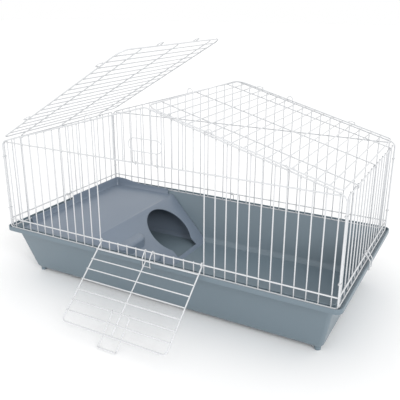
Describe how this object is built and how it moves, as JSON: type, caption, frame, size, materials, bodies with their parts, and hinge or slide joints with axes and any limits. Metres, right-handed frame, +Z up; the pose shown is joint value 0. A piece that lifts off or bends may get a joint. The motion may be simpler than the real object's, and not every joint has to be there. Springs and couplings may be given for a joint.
{
  "type": "wire rabbit cage",
  "caption": "Wire rabbit cage on a deep plastic tray, with lift-up gabled roof panels, a drop-down ramp door, base clips and a moulded hide.",
  "frame": {"origin": "bottom centre of the box that the cage and its open door and roof fill, on the floor", "axes": "+X along the length to the closed roof panel, +Y from the front door to the back, +Z up"},
  "size_m": [1.0074, 0.7262, 0.6895],
  "materials": {
    "white_wire": "gloss",
    "tray_plastic": "satin",
    "hide_plastic": "satin"
  },
  "bodies": {
    "cage": {"back_border_wire": "white_wire", "back_eave_wire": "white_wire", "back_lid_guides": "white_wire", "back_second_wire": "white_wire", "back_uprights": "white_wire", "corner_rings": "white_wire", "front_border_wire": "white_wire", "front_eave_wire": "white_wire", "front_gable_uprights": "white_wire", "front_left_uprights": "white_wire", "front_lid_guides": "white_wire", "front_right_uprights": "white_wire", "front_second_wire": "white_wire", "front_sill_uprights": "white_wire", "left_border_wire": "white_wire", "left_second_wire": "white_wire", "left_uprights": "white_wire", "right_border_wire": "white_wire", "right_second_wire": "white_wire", "right_uprights": "white_wire", "tray": "tray_plastic"},
    "left_roof": {"left_roof_bars": "white_wire", "left_roof_border": "white_wire", "left_roof_eyes": "white_wire", "left_roof_hooks": "white_wire", "left_roof_loops": "white_wire", "left_roof_ribs": "white_wire"},
    "right_roof": {"right_roof_bars": "white_wire", "right_roof_border": "white_wire", "right_roof_eyes": "white_wire", "right_roof_loops": "white_wire", "right_roof_ribs": "white_wire"},
    "door": {"door_bars": "white_wire", "door_eyes": "white_wire", "door_frame": "white_wire", "door_middle_bar": "white_wire"},
    "latch_wire": {"latch": "white_wire"},
    "lock": {"lock_ring": "white_wire", "lock_ring_arms": "white_wire"},
    "clip_front": {"front_clip": "white_wire"},
    "clip_back": {"back_clip": "white_wire"},
    "clip_left": {"left_clip": "white_wire"},
    "clip_right": {"right_clip": "white_wire"},
    "hide_box": {"hide": "hide_plastic"}
  },
  "joints": [
    {"name": "left_roof_hinge", "type": "hinge", "parent": "cage", "child": "left_roof", "pos_m": [-0.488, 0.0895, 0.413], "axis": [0, -1, 0], "range_deg": [-15.4, 200]},
    {"name": "right_roof_hinge", "type": "hinge", "parent": "cage", "child": "right_roof", "pos_m": [0.488, 0.0895, 0.413], "axis": [0, 1, 0], "range_deg": [0, 217]},
    {"name": "door_hinge", "type": "hinge", "parent": "cage", "child": "door", "pos_m": [0, -0.1685, 0.181], "axis": [-1, 0, 0], "range_deg": [0, 130]},
    {"name": "latch_pivot", "type": "hinge", "parent": "door", "child": "latch_wire", "pos_m": [0, -0.29754, 0.0677], "axis": [1, 0, 0], "range_deg": [0, 160]},
    {"name": "lock_ring_hinge", "type": "hinge", "parent": "cage", "child": "lock", "pos_m": [0, -0.1685, 0.413], "axis": [1, 0, 0], "range_deg": [0, 150]},
    {"name": "front_clip_hinge", "type": "hinge", "parent": "cage", "child": "clip_front", "pos_m": [0, -0.1685, 0.181], "axis": [-1, 0, 0], "range_deg": [0, 5]},
    {"name": "back_clip_hinge", "type": "hinge", "parent": "cage", "child": "clip_back", "pos_m": [0, 0.3475, 0.181], "axis": [1, 0, 0], "range_deg": [0, 110]},
    {"name": "left_clip_hinge", "type": "hinge", "parent": "cage", "child": "clip_left", "pos_m": [-0.488, 0.0895, 0.181], "axis": [0, 1, 0], "range_deg": [0, 110]},
    {"name": "right_clip_hinge", "type": "hinge", "parent": "cage", "child": "clip_right", "pos_m": [0.488, 0.0895, 0.181], "axis": [0, -1, 0], "range_deg": [0, 110]},
    {"name": "hide_lift", "type": "slide", "parent": "cage", "child": "hide_box", "axis": [0, 0, 1], "range_m": [0, 0.18]}
  ]
}
